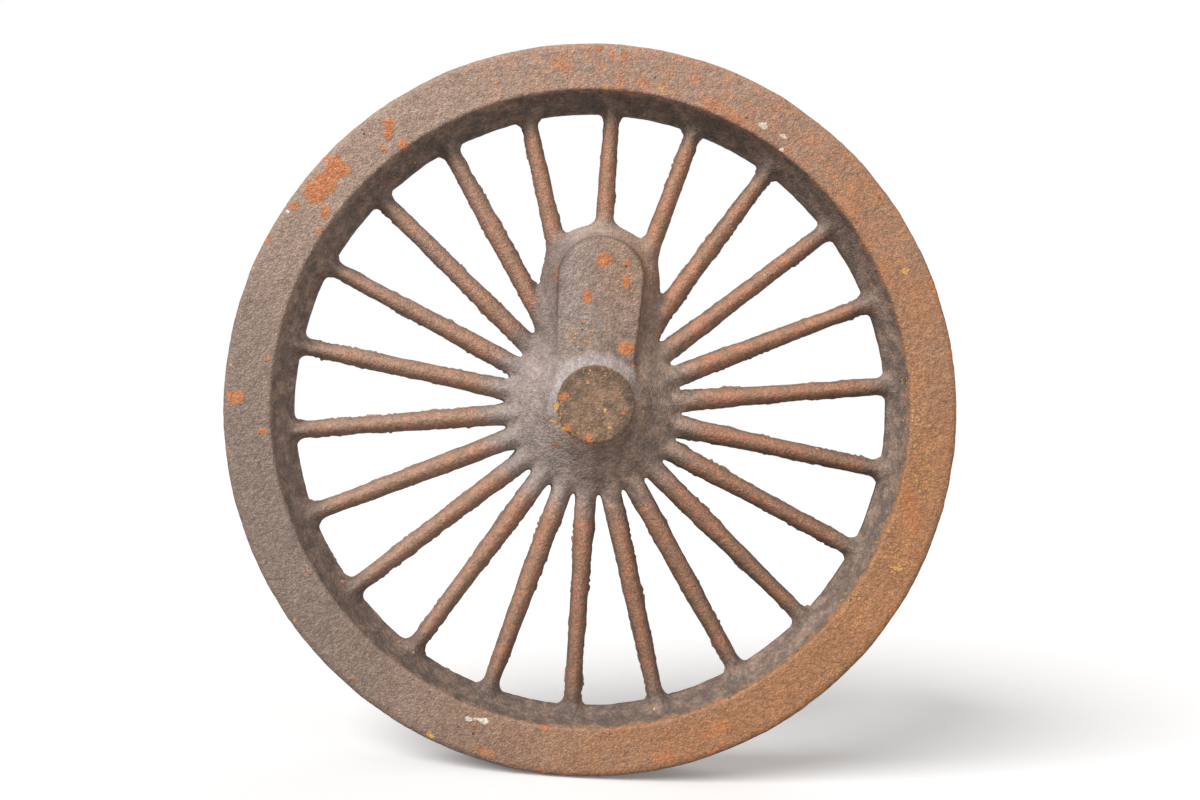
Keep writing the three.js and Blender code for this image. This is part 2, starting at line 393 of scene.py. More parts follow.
    def cut_back(self, name, points):
        """The whole field, sunk a hair where another piece covers the surface, so that two pieces that
        follow the same surface cross cleanly and never lie in one another."""
        before = {"rim": [], "axle_boss_front": [], "axle_boss_rear": [],
                  "crank_boss": ["axle_boss_front"],
                  "hub": ["axle_boss_front", "axle_boss_rear", "crank_boss"]}
        sink = np.zeros(points.shape[:-1])
        if name in before:
            sink = step_between(self.reach(name, points), -HAND_OVER, HAND_OVER)
        for other in before.get(name, ["rim", "crank_boss", "hub"]):
            covered = 1 - step_between(self.reach(other, points), -HAND_OVER, HAND_OVER)
            sink = np.maximum(sink, covered)
        return self.whole(points) + SINK * sink

    def leave(self, name, start, direction, near, far):
        """Where each ray leaves the iron: the span from near to far is halved until it closes on the
        surface. A ray that is still inside at far stops there."""
        near = np.broadcast_to(near, start.shape[:-1])
        far = np.broadcast_to(far, start.shape[:-1])
        for _ in range(HALVINGS):
            middle = (near + far) / 2
            inside = self.cut_back(name, start + direction * middle[..., None]) < 0
            near = np.where(inside, middle, near)
            far = np.where(inside, far, middle)
        return start + direction * far[..., None]

    def normal(self, points):
        """The field's slope, from four points of a small tetrahedron."""
        corners = np.array([[1, -1, -1], [-1, -1, 1], [-1, 1, -1], [1, 1, 1]])
        slope = sum(c * self.whole(points + c * 0.05 * MM)[..., None] for c in corners)
        return slope / np.maximum(np.linalg.norm(slope, axis=-1, keepdims=True), 1e-12)

    def skinned(self, points):
        """The surface with its sand-cast skin: noise of four sizes along the normal, and a thin ragged
        fin of flash where the two halves of the mould met, inside the rim."""
        height = self.shape.skin
        bumps = (1.3 * cloud(points, 21 * MM) + 0.8 * cloud(points, 7 * MM)
                 + 0.55 * cloud(points + 1, 3 * MM) + 0.5 * cloud(points + 2, 1.6 * MM))
        flat = points * np.array([1, 0, 1])
        thick = np.maximum(0.45 + 1.2 * cloud(flat + 3, 7 * MM), 0)
        teeth = 0.6 + cloud(flat + 4, 1.1 * MM) + 0.5 * cloud(flat + 5, 2.6 * MM)
        ragged = 0.25 + thick * np.maximum(teeth, 0)
        within = np.hypot(points[..., 0], points[..., 2]) < self.rim_radius - self.shape.face_depth
        fin = self.shape.flash * ragged * np.exp(-(points[..., 1] / (0.35 * MM)) ** 2) * within
        return points + self.normal(points) * (height * bumps + fin)[..., None]


# ---- grids and meshes

def spread(corners, steps):
    """Points along a polyline, with the given number of steps on each side."""
    corners = np.array(corners, float)
    sides = [a + (b - a) * np.linspace(0, 1, n, endpoint=False)[:, None]
             for a, b, n in zip(corners[:-1], corners[1:], steps)]
    return np.concatenate([*sides, corners[-1:]])


def put_out(name, data):
    """An object for a mesh, light or camera, put into the scene."""
    thing = bpy.data.objects.new(name, data)
    bpy.context.collection.objects.link(thing)
    return thing


def mesh_object(name, points, ring=False):
    """A mesh from a grid of points. The second way round the grid always closes on itself. The first
    closes too if ring is true; otherwise its first and last rows lie on a point or a doubled line, which
    welding closes."""
    rows, columns = points.shape[:2]
    index = np.arange(rows * columns).reshape(rows, columns)
    if ring:
        index = np.concatenate([index, index[:1]])
    after = np.roll(index, -1, axis=1)
    quads = np.stack([index[:-1], after[:-1], after[1:], index[1:]], axis=-1).reshape(-1, 4)
    mesh = bpy.data.meshes.new(name)
    mesh.vertices.add(rows * columns)
    mesh.vertices.foreach_set("co", points.astype(np.float32).ravel())
    mesh.loops.add(quads.size)
    mesh.loops.foreach_set("vertex_index", quads.astype(np.int32).ravel())
    mesh.polygons.add(len(quads))
    mesh.polygons.foreach_set("loop_start", np.arange(0, quads.size, 4, dtype=np.int32))
    mesh.polygons.foreach_set("use_smooth", np.ones(len(quads), bool))
    mesh.update(calc_edges=True)
    weld(mesh)
    return put_out(name, mesh)


def weld(mesh):
    """Merges doubled points, and turns the faces outwards."""
    work = bmesh.new()
    work.from_mesh(mesh)
    bmesh.ops.remove_doubles(work, verts=work.verts, dist=1e-7)
    bmesh.ops.recalc_face_normals(work, faces=work.faces)
    work.to_mesh(mesh)
    work.free()


def finish_piece(piece, node, material):
    """Gives a piece its material, hides the solid it stands for, and lets it ride on the casting."""
    piece.data.materials.append(material)
    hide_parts(node)
    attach(piece, "root")


def wheel_rays(angle, r, y, core_r, core_y):
    """Rays in the plane through the axle at each angle, from the core ring towards the profile (r, y).
    Returns their starts, their unit directions and their lengths to the profile."""
    sin, cos = np.sin(angle), np.cos(angle)

    def placed(radius, height):
        """Points at a radius and a height, one for each angle."""
        return np.stack(np.broadcast_arrays(radius * sin, height, radius * cos), axis=-1)

    start = placed(np.broadcast_to(core_r, r.shape), np.broadcast_to(core_y, y.shape))
    aim = placed(r, y) - start
    distance = np.linalg.norm(aim, axis=-1)
    return start, aim / distance[..., None], distance


def rim_grid(casting):
    """The rim's section carried round the axle: rays from a core ring out to the surface."""
    s = casting.shape
    edge, face = casting.rim_radius, casting.half_width
    ridge = (edge - s.bore_depth, 0)
    front = (edge - s.face_depth, -face)
    rear = (edge - s.back_depth, face)
    near = 0.6 * MM
    section = spread(
        [(ridge[0], near), (ridge[0], -near), front, (edge - 1.5 * MM, -face), (edge, -face + 1.5 * MM),
         (edge, face - 1.5 * MM), (edge - 1.5 * MM, face), rear, (ridge[0], near)],
        [6, 18, 22, 5, 14, 4, 11, 11])
    angle = np.arange(48 * len(SPOKES)) * PITCH / 48
    section = section[:-1]
    r, y = section[:, :1] + 0 * angle, section[:, 1:] + 0 * angle
    start, direction, distance = wheel_rays(angle, r, y, edge - CORE_OF_RIM, 0.55 * y)
    return casting.leave("rim", start, direction, distance - 3 * MM, distance + 4 * MM)


def hub_grid(casting):
    """The hub's section carried round the axle: rays from a ring inside its body."""
    front, back = -18 * MM, 15 * MM
    edge = 34 * MM
    section = spread(
        [(0, front), (16 * MM, front), (26 * MM, -7.5 * MM), (edge, -5 * MM), (edge, -0.6 * MM),
         (edge, 0.6 * MM), (edge, 5 * MM), (26 * MM, 7.5 * MM), (16 * MM, back), (0, back)],
        [16, 24, 22, 10, 8, 10, 22, 20, 10])
    angle = np.arange(20 * len(SPOKES)) * PITCH / 20
    r, y = section[:, :1] + 0 * angle, section[:, 1:] + 0 * angle
    start, direction, _ = wheel_rays(angle, r, y, CORE_OF_HUB, 0 * y)
    sideways = np.abs(direction[..., 1])
    to_axis = np.where(r < CORE_OF_HUB, CORE_OF_HUB / np.maximum(np.sqrt(1 - sideways**2), 1e-6), 1)
    far = np.minimum(np.minimum(37 * MM, to_axis), 17 * MM / np.maximum(1 - 0.6 * sideways, 0.1) + 6 * MM)
    return casting.leave("hub", start, direction, 2 * MM, far)


def spoke_grid(casting, node, turn):
    """A spoke: rays square to its own axis, at steps from its root to its tip, with closer steps where
    the flash is."""
    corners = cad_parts[node].data.vertices
    inner = min(math.hypot(v.co.x, v.co.z) for v in corners)
    outer = casting.rim_radius - casting.shape.bore_depth + 3 * MM
    along = np.linspace(inner - 2.5 * MM, outer, int((outer - inner) / (0.36 * MM)))[:, None]
    quarter = np.concatenate([np.linspace(0, 76, 12), [80, 84, 87]])
    half = np.concatenate([quarter, [90], 180 - quarter[:0:-1]])
    around = np.radians(np.concatenate([half, 180 + half]))
    sin, cos = math.sin(turn), math.cos(turn)
    across, deep = np.sin(around), -np.cos(around)
    start = np.stack(np.broadcast_arrays(along * sin, 0 * around, along * cos), axis=-1)
    direction = np.stack(np.broadcast_arrays(across * cos, deep, -across * sin), axis=-1) + 0 * start
    size = 1 - (1 - casting.shape.spoke_taper) * (along - SPOKE_ROOT) / (96 * MM)
    wide = size * casting.shape.spoke_width / 2
    tall = size * casting.shape.spoke_depth / 2
    surface = 1 / np.hypot(across / wide, deep / tall)
    skin = casting.leave(node, start, direction, 0.3 * surface, surface + 3 * MM)
    return np.concatenate([start[:1] + 0 * skin[:1], skin, start[-1:] + 0 * skin[-1:]])


def crank_grid(casting):
    """The crank boss: rays from the line between the axle and the crank-pin centre, straight out on its
    two sides and fanned round its two ends."""
    low, high = 22 * MM, casting.crank_z
    waist = casting.crank_waist
    front, back = casting.crank_front, casting.crank_back
    section = spread(
        [(0, front), (15 * MM, front), (17 * MM, front + 3 * MM), (waist, -5 * MM), (waist, 0.6 * MM),
         (waist, 5 * MM), (waist - 4 * MM, back), (0, back)],
        [22, 12, 16, 10, 8, 10, 14])
    sides, fan = 60, 90
    up = np.linspace(low, high, sides, endpoint=False)
    turn_up = np.linspace(0, math.pi, fan, endpoint=False)
    z = np.concatenate([up, np.full(fan, high), up[::-1] + (high - low) / sides, np.full(fan // 2, low)])
    turn = np.concatenate([np.full(sides, 0), turn_up, np.full(sides, math.pi),
                           math.pi + np.linspace(0, math.pi, fan // 2, endpoint=False)])
    sin, cos = np.sin(turn), np.cos(turn)
    across, height = section[:, :1], section[:, 1:]
    start = np.stack(np.broadcast_arrays(casting.crank_x + 0 * across, 0 * height, z), axis=-1)
    aim = np.stack(np.broadcast_arrays(across * cos, height, across * sin), axis=-1)
    distance = np.linalg.norm(aim, axis=-1)
    aim = aim / distance[..., None]
    return casting.leave("crank_boss", start, aim, 0.3 * distance, distance + 4 * MM)


def boss_grid(casting, node):
    """An axle boss: rays from a point on its axis, fanned over its face and flank, and closed below."""
    side = -1 if node == "axle_boss_front" else 1
    top = casting.boss_at.y if side < 0 else casting.rear_top
    middle = casting.boss_at if side < 0 else Vector((0, top, 0))
    foot = 21 * MM if side < 0 else 20.5 * MM
    face = casting.shape.boss_face if side < 0 else casting.rear_foot - 2.4 * MM
    section = spread(
        [(0, top), (face - MM, top), (face + 0.5 * MM, top - side * MM), (foot - 1.2 * MM, side * 12.5 * MM),
         (foot, side * 10 * MM), (0, side * 7.5 * MM)],
        [22, 8, 14, 8, 4])
    turn = np.arange(200) * 2 * math.pi / 200
    across, height = section[:, :1], section[:, 1:]
    base = side * 8.5 * MM
    start = np.array([middle.x, base, middle.z]) + np.zeros((len(section), len(turn), 3))
    aim = np.stack(np.broadcast_arrays(across * np.sin(turn), height - base, across * np.cos(turn)), axis=-1)
    distance = np.linalg.norm(aim, axis=-1)
    far = np.where(side * height > 9.5 * MM, distance + 2 * MM, distance)
    return casting.leave(node, start, aim / distance[..., None], 0.3 * distance, far)


# ---- materials

class Skin:
    """A material's node tree, laid out one node at a time."""

    def __init__(self, name):
        self.material = bpy.data.materials.new(name)
        self.material.use_nodes = True
        tree = self.material.node_tree
        self.nodes, self.links = tree.nodes, tree.links
        self.shader = self.nodes["Principled BSDF"]
        self.place = self.nodes.new("ShaderNodeTexCoord").outputs["Object"]
        self.x, self.y, self.z = self.put("ShaderNodeSeparateXYZ", self.place)
        self.depth = self.math("ABSOLUTE", self.y)
        flat = self.put("ShaderNodeVectorMath", self.place, (1, 0, 1), operation="MULTIPLY")[0]
        self.r = self.put("ShaderNodeVectorMath", flat, operation="LENGTH")[1]
        self.blot = self.noise(24 * MM, 4.0, 0.6)[0]
        self.lump = self.noise(5 * MM, 4.0, 0.62)[0]
        self.speck = self.noise(1.5 * MM, 3.0, 0.6)[0]
        self.wobble = self.put("ShaderNodeVectorMath", self.noise(2 * MM, 3.0, 0.7)[1], (0.5, 0.5, 0.5),
                               operation="SUBTRACT")[0]

    def put(self, kind, *inputs, named=None, **settings):
        """Adds a node, links or sets its inputs in order (None leaves one alone) or by name, and gives
        back its outputs."""
        node = self.nodes.new(kind)
        for key, value in settings.items():
            setattr(node, key, value)
        pairs = list(zip(node.inputs, inputs)) + [(node.inputs[key], v) for key, v in (named or {}).items()]
        for socket, value in pairs:
            if isinstance(value, bpy.types.NodeSocket):
                self.links.new(value, socket)
            elif value is not None:
                socket.default_value = value
        return node.outputs

    def math(self, operation, a, b=0.0):
        """One sum on two values."""
        return self.put("ShaderNodeMath", a, b, operation=operation)[0]

    def times(self, a, b):
        """The product of two values."""
        return self.math("MULTIPLY", a, b)

    def most(self, a, b):
        """The greater of two values."""
        return self.math("MAXIMUM", a, b)

    def plus(self, value, noise, amount):
        """A value with noise about 0.5 added, as strong as amount from end to end."""
        return self.math("ADD", value, self.times(self.math("SUBTRACT", noise, 0.5), amount))

    def grade(self, value, low, high, start=0.0, end=1.0):
        """Eases from start, where the value is low, to end, where it is high."""
        return self.put("ShaderNodeMapRange", value, low, high, start, end,
                        interpolation_type="SMOOTHSTEP")[0]

    def blend(self, share, a, b):
        """A colour between a, at share 0, and b, at share 1."""
        a, b = [c if isinstance(c, bpy.types.NodeSocket) else (*c, 1) for c in (a, b)]
        node = self.put("ShaderNodeMix", share, None, None, None, None, None, a, b, data_type="RGBA")
        return node[2]

    def over(self, colour, *coats):
        """A colour with coats laid over it in order, each given by its share and its colour."""
        for share, coat in coats:
            colour = self.blend(share, colour, coat)
        return colour

    def noise(self, size, detail=2.0, rough=0.5):
        """Fractal noise about 0.5, whose largest lumps have the given size."""
        return self.put("ShaderNodeTexNoise", self.place, None, 1 / size, detail, rough)

    def moved(self, amount):
        """The point moved about by fine noise, to make an edge ragged."""
        drift = self.put("ShaderNodeVectorMath", self.wobble, None, None, amount, operation="SCALE")[0]
        return self.put("ShaderNodeVectorMath", self.place, drift, operation="ADD")[0]

    def crumbs(self, size, share, radius):
        """Ragged specks: balls on scattered points, kept in that share of the cells."""
        cells = self.put("ShaderNodeTexVoronoi", self.moved(1.8 * radius), None, 1 / size)
        kept = self.math("LESS_THAN", self.put("ShaderNodeSeparateXYZ", cells[1])[0], share)
        return self.times(self.grade(cells[0], radius / size, 0.7 * radius / size), kept)

    def spots(self, places, deep, soft=0.12, broken=0.9):
        """Spots on the front, each an oval given by its middle, its half sizes in millimetres and its
        lean in degrees: 1 inside, 0 outside, with a broken edge as wide as soft, and only in front of
        the given depth."""
        at = self.moved(3 * MM)
        nearest = 9.0
        for x, z, wide, tall, lean in places:
            oval = self.put("ShaderNodeMapping", at, (x * MM, 0, z * MM), (0, math.radians(lean), 0),
                            (wide * MM, 1, tall * MM), vector_type="TEXTURE")[0]
            reach = self.put("ShaderNodeVectorMath", oval, operation="LENGTH")[1]
            nearest = self.math("MINIMUM", reach, nearest)
        front = self.grade(self.y, -deep, -deep - 0.6 * MM)
        ragged = self.plus(self.plus(nearest, self.speck, broken), self.lump, 2.0 * broken)
        return self.times(self.grade(ragged, 1 + soft, 1 - soft), front)


def face_colour(skin, finish):
    """The flat faces of the rim: mauve brown at the top, tan at the right and bottom, grey and dull at
    the lower left, with warm freckles where it is tan."""
    lean = skin.math("SUBTRACT", skin.times(skin.x, 0.9), skin.times(skin.z, 0.5))
    warm = skin.plus(skin.plus(lean, skin.blot, 180 * MM), skin.lump, 80 * MM)
    freckle = skin.times(skin.grade(skin.noise(2.4 * MM, 4.0, 0.7)[0], 0.54, 0.66),
                         skin.grade(warm, -20 * MM, 110 * MM, 0.15, 0.8))
    low = skin.math("ADD", skin.times(skin.x, -0.85), skin.times(skin.z, -0.5))
    dull = skin.grade(skin.plus(skin.plus(low, skin.blot, 60 * MM), skin.lump, 40 * MM), 50 * MM, 125 * MM)
    return skin.over(
        finish.mauve,
        (skin.grade(warm, -70 * MM, 40 * MM), finish.brown),
        (skin.grade(warm, 20 * MM, 130 * MM), finish.tan),
        (freckle, finish.tan),
        (skin.times(dull, 0.8), finish.iron))


def spoke_colour(skin, finish):
    """The spokes: reddish crests, browner and darker flanks, mauve to the left, painted shade towards the
    lower right, and pale flash."""
    flank = skin.over(finish.iron, (skin.grade(skin.blot, 0.35, 0.65), finish.brown), (0.25, finish.pits_and_shade))
    crest = skin.grade(skin.plus(skin.depth, skin.lump, 2 * MM), 2.0 * MM, 4.4 * MM)
    # painted shade: the spokes darken towards the lower right
    lower = skin.math("SUBTRACT", skin.times(skin.x, 0.6), skin.times(skin.z, 0.8))
    return skin.over(
        flank,
        (crest, skin.blend(skin.grade(skin.lump, 0.4, 0.62), finish.brown, finish.red)),
        (skin.crumbs(2.2 * MM, 0.55, 0.7 * MM), skin.blend(0.35, finish.orange, finish.red)),
        (skin.grade(skin.speck, 0.58, 0.72, 0.0, 0.5), finish.pits_and_shade),
        (skin.grade(skin.x, 10 * MM, -80 * MM, 0.0, 0.45), finish.mauve),
        (skin.grade(lower, 10 * MM, 80 * MM, 0.0, 0.3), finish.pits_and_shade),
        (skin.grade(skin.depth, 0.6 * MM, 0.2 * MM, 0.0, 0.5), finish.mauve))


def hub_colour(skin, finish):
    """The hub and bosses: grey-brown iron, painted light in lilac grey at the left, browner up the crank
    boss, painted shade on the left of its skirt, olive at the foot of its pad and a painted highlight round
    its top, with a painted lilac sheen on the axle boss's flare and an olive face on the axle boss."""
    up = skin.plus(skin.z, skin.blot, 40 * MM)
    foot = skin.times(skin.grade(skin.z, 30 * MM, 20 * MM, 0.0, 0.3),
                      skin.grade(skin.y, -12.6 * MM, -13.4 * MM))
    # painted light: the left of the hub is lighter lilac grey
    left = skin.grade(skin.plus(skin.x, skin.blot, 14 * MM), 6 * MM, -16 * MM, 0.0, 0.5)
    # painted shade: the left side of the crank boss's skirt is darker
    shade = skin.times(skin.grade(skin.x, -10 * MM, -16 * MM),
                       skin.grade(skin.z, 12 * MM, 26 * MM, 0.0, 0.34))
    # painted highlight: paler round the top of the crank boss, which faces up to the light
    painted_top_highlight = skin.grade(skin.plus(skin.z, skin.lump, 3 * MM), 60 * MM, 65 * MM, 0.0, 0.15)
    # painted sheen: lilac grey on the axle boss's flare, strongest on its upper left
    uphill = skin.math("SUBTRACT", skin.z, skin.times(skin.x, 0.5))
    flare = skin.times(skin.grade(skin.depth, 15.2 * MM, 16.2 * MM),
                       skin.grade(skin.plus(uphill, skin.lump, 9 * MM), -8 * MM, 17 * MM, 0.0, 0.85))
    face = skin.grade(skin.plus(skin.depth, skin.speck, 0.6 * MM), 17.8 * MM, 18.2 * MM)
    border = skin.grade(skin.plus(skin.r, skin.lump, 3 * MM), 10.5 * MM, 13.5 * MM, 0.0, 0.4)
    olive = skin.over(
        finish.olive,
        (skin.grade(skin.lump, 0.36, 0.64, 0.1, 0.7), finish.brown),
        (border, finish.pits_and_shade))
    return skin.over(
        finish.iron,
        (skin.grade(skin.lump, 0.3, 0.75), finish.mauve),
        (skin.grade(up, 10 * MM, 60 * MM, 0.0, 0.45), finish.brown),
        (foot, finish.olive), (left, finish.painted_lilac_sheen), (shade, finish.pits_and_shade),
        (painted_top_highlight, finish.pale), (flare, finish.painted_lilac_sheen), (face, olive))


def bore_colour(skin, finish):
    """The rim's bore: grey iron, with painted shade: darker to the right and low down."""
    # painted shade: the bore darkens low down, and everywhere but on its left side
    painted_low_shade = skin.math("ADD", skin.times(skin.z, 0.9), skin.times(skin.x, 0.35))
    return skin.over(
        finish.iron,
        (skin.grade(skin.lump, 0.38, 0.68), finish.mauve),
        (skin.grade(skin.x, -115 * MM, -60 * MM, 0.0, 0.22), finish.pits_and_shade),
        (skin.grade(painted_low_shade, -50 * MM, -110 * MM, 0.0, 0.3), finish.pits_and_shade))


def clean_colour(skin, finish, casting):
    """The iron under its rust spots: hub, spokes, a painted shadow along the crank pad's edge, bore and
    faces.
    Gives back the colour, and 1 on the rim's flat faces and tread."""
    along = skin.put("ShaderNodeClamp", skin.z, CRANK_START, casting.crank_z)[0]
    beside = skin.put("ShaderNodeCombineXYZ", skin.x, 0.0, skin.math("SUBTRACT", skin.z, along))[0]
    beside = skin.put("ShaderNodeVectorMath", beside, operation="LENGTH")[1]
    off_crank = skin.grade(skin.plus(beside, skin.lump, 5 * MM), 21 * MM, 27 * MM)
    out = skin.plus(skin.r, skin.lump, 9 * MM)
    on_spoke = skin.times(skin.grade(out, 33 * MM, 47 * MM), off_crank)
    # painted shadow: a dark ragged line along the edge of the crank pad, on its raised part
    painted_pad_edge_shadow = skin.math("SUBTRACT", skin.plus(beside, skin.speck, 1.2 * MM), casting.shape.crank_face)
    painted_pad_edge_shadow = skin.grade(skin.math("ABSOLUTE", painted_pad_edge_shadow), 1.3 * MM, 0.2 * MM, 0.0, 0.45)
    raised = skin.times(skin.grade(skin.y, -11 * MM, -13 * MM), skin.grade(skin.z, 15 * MM, 30 * MM))
    mouth, face = casting.mouth, casting.half_width
    on_face = skin.most(skin.grade(skin.depth, face - 0.5 * MM, face - 0.1 * MM),
                        skin.grade(skin.plus(skin.r, skin.lump, 2 * MM), mouth - 0.7 * MM, mouth + 0.3 * MM))
    on_face = skin.times(on_face, skin.grade(skin.r, 108 * MM, 109 * MM))
    colour = skin.over(
        hub_colour(skin, finish),
        (on_spoke, spoke_colour(skin, finish)),
        (skin.times(painted_pad_edge_shadow, raised), finish.pits_and_shade),
        (skin.grade(out, 98 * MM, 111 * MM), bore_colour(skin, finish)),
        (on_face, face_colour(skin, finish)))
    return colour, on_face


def rusted(skin, finish, colour, on_face, orange_spots, ochre_spots, deep):
    """Rust over a colour: faint, orange, speckled, ochre and pale spots in their places, wild patches on
    the tread and behind, warm crumbs high on the rim and loose crumbs all over. Gives back the colour,
    and 1 on the orange rust."""
    faint = skin.times(skin.spots(FAINT_ON_RIM, RIM_FRONT, 0.3, 1.3), 0.5)
    unseen = skin.most(skin.grade(skin.r, 130.5 * MM, 132 * MM), skin.grade(skin.y, 8 * MM, 10 * MM))
    wild = skin.times(skin.grade(skin.noise(15 * MM, 4.0, 0.55)[0], 0.62, 0.64), unseen)
    wild = skin.most(wild, skin.crumbs(9 * MM, 0.35, 0.9 * MM))
    orange = skin.most(skin.spots(orange_spots, deep), wild)
    rust = skin.over(
        finish.orange,
        (skin.grade(skin.speck, 0.56, 0.85), finish.red),
        (skin.crumbs(1.6 * MM, 0.3, 0.4 * MM), finish.ochre))
    speckled = skin.times(skin.spots(SPECKLED, BOSS_FRONT, 0.4, 1.0), skin.crumbs(1.2 * MM, 0.7, 0.5 * MM))
    mixed = skin.blend(skin.grade(skin.lump, 0.4, 0.6), finish.ochre, finish.orange)
    upper = skin.plus(skin.math("ADD", skin.z, skin.times(skin.x, 0.4)), skin.blot, 60 * MM)
    upper = skin.times(skin.grade(upper, 70 * MM, 115 * MM), on_face)
    warm = skin.most(skin.grade(skin.lump, 0.4, 0.65, 0.05, 0.3), skin.crumbs(2 * MM, 0.3, 0.45 * MM))
    ochre = skin.most(skin.spots(ochre_spots, deep), skin.crumbs(6 * MM, 0.16, 0.6 * MM))
    pale = skin.most(skin.spots(PALE_ON_RIM, RIM_FRONT), skin.crumbs(15 * MM, 0.3, 0.5 * MM))
    colour = skin.over(
        colour,
        (faint, finish.orange), (skin.times(orange, 0.92), rust),
        (skin.times(speckled, 0.85), mixed), (skin.times(upper, warm), finish.orange),
        (ochre, finish.ochre), (pale, finish.pale))
    return colour, orange


def iron_skin(name, casting, orange_spots=(), ochre_spots=(), deep=BOSS_FRONT):
    """The skin all pieces share, placed from the wheel's centre, so that it runs unbroken from piece to
    piece: the iron's own colours, rust over them, pits, and the print of each grain of sand."""
    skin = Skin(name)
    finish = bpy.context.scene.iron_finish
    colour, on_face = clean_colour(skin, finish, casting)
    colour, orange = rusted(skin, finish, colour, on_face, orange_spots, ochre_spots, deep)
    pits = skin.crumbs(7 * MM, 0.4, 0.5 * MM)
    colour = skin.blend(skin.times(pits, 0.6), colour, finish.pits_and_shade)
    grain = skin.put("ShaderNodeTexVoronoi", skin.moved(0.5 * MM), None, 1 / GRAIN)
    sand = skin.grade(grain[0], 0.1, 0.75, 1.0, 0.0)
    each = skin.put("ShaderNodeSeparateXYZ", grain[1])[0]
    tone = skin.times(skin.grade(each, 0.0, 1.0, 0.88, 1.12), skin.grade(sand, 0.0, 1.0, 0.86, 1.06))
    tone = skin.times(tone, skin.grade(skin.speck, 0.25, 0.75, 0.8, 1.2))
    tone = skin.times(tone, skin.grade(skin.lump, 0.3, 0.7, 0.92, 1.08))
    colour = skin.put("ShaderNodeVectorMath", colour, None, None, tone, operation="SCALE")[0]
    skin.links.new(colour, skin.shader.inputs["Base Color"])
    height = skin.math("ADD", skin.times(sand, 0.35), skin.times(skin.speck, 1.1))
    height = skin.math("ADD", height, skin.times(orange, 0.3))
    height = skin.math("SUBTRACT", height, pits)
    bump = skin.put("ShaderNodeBump", named={"Strength": 1.0, "Distance": BUMP, "Height": height})
    skin.links.new(bump[0], skin.shader.inputs["Normal"])
    skin.links.new(skin.grade(skin.speck, 0.3, 0.7, 0.68, 0.52), skin.shader.inputs["Roughness"])
    return skin.material


# ---- operators

class OBJECT_OT_casting_rim(bpy.types.Operator):
    """Build the rim"""

    bl_idname = "object.casting_rim"
    bl_label = "Rim"

    def execute(self, context):
        casting = Casting(context.scene.casting_shape)
        material = iron_skin("rim_skin", casting, ORANGE_ON_RIM, OCHRE_ON_RIM, RIM_FRONT)
        piece = mesh_object("rim_casting", casting.skinned(rim_grid(casting)), ring=True)
        finish_piece(piece, "rim", material)
        return {"FINISHED"}


class OBJECT_OT_casting_spokes(bpy.types.Operator):
    """Build the spokes"""

    bl_idname = "object.casting_spokes"
    bl_label = "Spokes"

    def execute(self, context):
        casting = Casting(context.scene.casting_shape)
        material = iron_skin("spoke_skin", casting)
        for i, node in enumerate(SPOKES):
            grid = casting.skinned(spoke_grid(casting, node, i * PITCH))
            finish_piece(mesh_object(f"{node}_casting", grid), node, material)
        return {"FINISHED"}


class OBJECT_OT_casting_hub(bpy.types.Operator):
    """Build the hub, the crank boss and the two axle bosses"""

    bl_idname = "object.casting_hub"
    bl_label = "Hub and bosses"

    def execute(self, context):
        casting = Casting(context.scene.casting_shape)
        grey = iron_skin("hub_skin", casting, ORANGE_ON_HUB, OCHRE_ON_HUB)
        olive = iron_skin("boss_skin", casting, ORANGE_ON_BOSS, OCHRE_ON_BOSS)
        hub = mesh_object("hub_casting", casting.skinned(hub_grid(casting)))
        finish_piece(hub, "hub", grey)
        crank = mesh_object("crank_boss_casting", casting.skinned(crank_grid(casting)))
        finish_piece(crank, "crank_boss", grey)
        for node in ("axle_boss_front", "axle_boss_rear"):
            boss = mesh_object(f"{node}_casting", casting.skinned(boss_grid(casting, node)))
            finish_piece(boss, node, olive)
        return {"FINISHED"}


def studio_world(strength):
    """Plain soft light from all round, with a white background."""
    world = bpy.data.worlds.new("studio")
    world.use_nodes = True
    nodes, links = world.node_tree.nodes, world.node_tree.links
    backdrop = nodes.new("ShaderNodeBackground")
    mix = nodes.new("ShaderNodeMixShader")
    nodes["Background"].inputs["Color"].default_value = (1, 0.95, 0.91, 1)
    nodes["Background"].inputs["Strength"].default_value = strength
    backdrop.inputs["Strength"].default_value = 1.0
    backdrop.inputs["Color"].default_value = (1, 1, 1, 1)
    links.new(nodes.new("ShaderNodeLightPath").outputs["Is Camera Ray"], mix.inputs[0])
    links.new(nodes["Background"].outputs[0], mix.inputs[1])
    links.new(backdrop.outputs[0], mix.inputs[2])
    links.new(mix.outputs[0], nodes["World Output"].inputs["Surface"])
    return world


def floor_paint():
    """A matt floor that looks white and throws less light back on the casting than it seems to."""
    paint = bpy.data.materials.new("floor")
    paint.use_nodes = True
    nodes, links = paint.node_tree.nodes, paint.node_tree.links
    shader = nodes["Principled BSDF"]
    shader.inputs["Roughness"].default_value = 1
    shader.inputs["Specular IOR Level"].default_value = 0
    seen = nodes.new("ShaderNodeMapRange")
    seen.inputs["To Min"].default_value = FLOOR_BOUNCE
    seen.inputs["To Max"].default_value = FLOOR_SEEN
    links.new(nodes.new("ShaderNodeLightPath").outputs["Is Camera Ray"], seen.inputs[0])
    links.new(seen.outputs[0], shader.inputs["Base Color"])
    glow = nodes.new("ShaderNodeMath")
    glow.operation = "MULTIPLY"
    glow.inputs[1].default_value = FLOOR_GLOW
    links.new(seen.outputs[0], glow.inputs[0])
    shader.inputs["Emission Color"].default_value = (1, 1, 1, 1)
    links.new(glow.outputs[0], shader.inputs["Emission Strength"])
    return paint


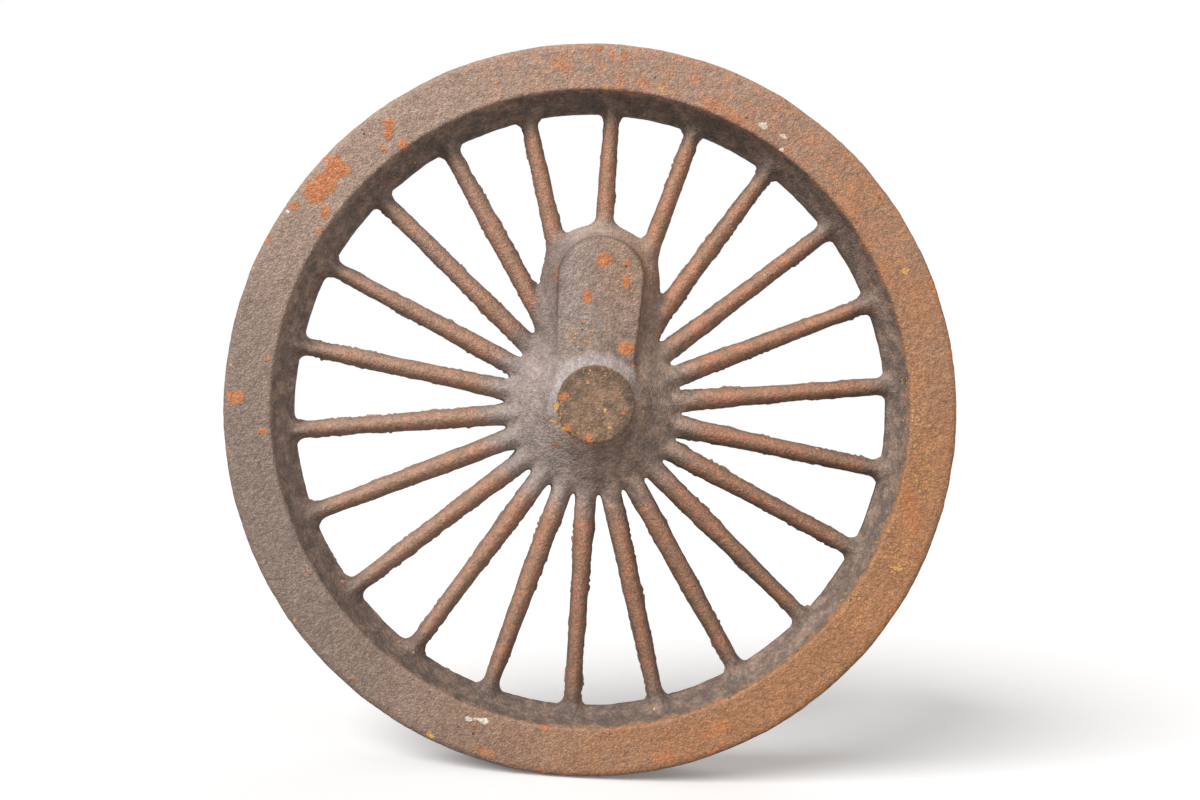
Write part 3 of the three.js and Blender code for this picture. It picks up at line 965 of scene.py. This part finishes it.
class SCENE_OT_casting_stage(bpy.types.Operator):
    """Set out the floor, the lights and the camera"""

    bl_idname = "scene.casting_stage"
    bl_label = "Floor, lights and camera"

    def execute(self, context):
        scene = context.scene
        stage = scene.casting_stage_values
        low = -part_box("rim")[1].z
        half = FLOOR_SIZE / 2
        corners = [(-half, -half, low), (half, -half, low), (half, half, low), (-half, half, low)]
        mesh = bpy.data.meshes.new("floor")
        mesh.from_pydata(corners, [], [(0, 1, 2, 3)])
        mesh.materials.append(floor_paint())
        put_out("floor", mesh)
        scene.world = studio_world(stage.surround)
        scene.view_settings.view_transform = "Standard"
        for name, toward, strength, soft in (("key", stage.key_toward, stage.key, 35),
                                             ("fill", stage.fill_toward, stage.fill, 60),
                                             ("back", stage.back_toward, stage.back, 60)):
            light = bpy.data.lights.new(name, "SUN")
            light.energy = strength
            light.angle = math.radians(soft)
            lamp = put_out(name, light)
            lamp.rotation_euler = Vector(toward).to_track_quat("-Z", "Y").to_euler()
        lens = bpy.data.cameras.new("camera")
        lens.lens = lens.sensor_width = 36
        lens.clip_start = 0.01
        camera = put_out("camera", lens)
        camera.matrix_world = (Matrix.Translation(stage.camera_at)
                               @ Matrix.Rotation(-stage.camera_lean, 4, "Y")
                               @ Matrix.Rotation(-stage.camera_turn, 4, "Z")
                               @ Matrix.Rotation(math.pi / 2 + stage.camera_tilt, 4, "X"))
        scene.camera = camera
        return {"FINISHED"}


class VIEW3D_PT_casting(bpy.types.Panel):
    """Panel with the casting's operators and values"""

    bl_label = "Wheel casting"
    bl_idname = "VIEW3D_PT_casting"
    bl_space_type = "VIEW_3D"
    bl_region_type = "UI"
    bl_category = "Wheel casting"

    def draw(self, context):
        for operator in OPERATORS:
            self.layout.operator(operator.bl_idname)
        scene = context.scene
        for group in (scene.casting_shape, scene.iron_finish, scene.casting_stage_values):
            for name in group.__annotations__:
                self.layout.prop(group, name)


OPERATORS = (OBJECT_OT_casting_rim, OBJECT_OT_casting_spokes, OBJECT_OT_casting_hub, SCENE_OT_casting_stage)
CLASSES = (CastingShape, IronFinish, CastingStage, *OPERATORS, VIEW3D_PT_casting)


def register():
    """Registers the classes and gives the scene its values."""
    for cls in CLASSES:
        bpy.utils.register_class(cls)
    bpy.types.Scene.casting_shape = bpy.props.PointerProperty(type=CastingShape)
    bpy.types.Scene.iron_finish = bpy.props.PointerProperty(type=IronFinish)
    bpy.types.Scene.casting_stage_values = bpy.props.PointerProperty(type=CastingStage)


def unregister():
    """Takes the scene's values and the classes away again."""
    del bpy.types.Scene.casting_stage_values
    del bpy.types.Scene.iron_finish
    del bpy.types.Scene.casting_shape
    for cls in reversed(CLASSES):
        bpy.utils.unregister_class(cls)


def main():
    """Builds everything in order."""
    register()
    bpy.ops.scene.casting_stage()
    bpy.ops.object.casting_rim()
    bpy.ops.object.casting_spokes()
    bpy.ops.object.casting_hub()


if __name__ == "__main__":
    main()
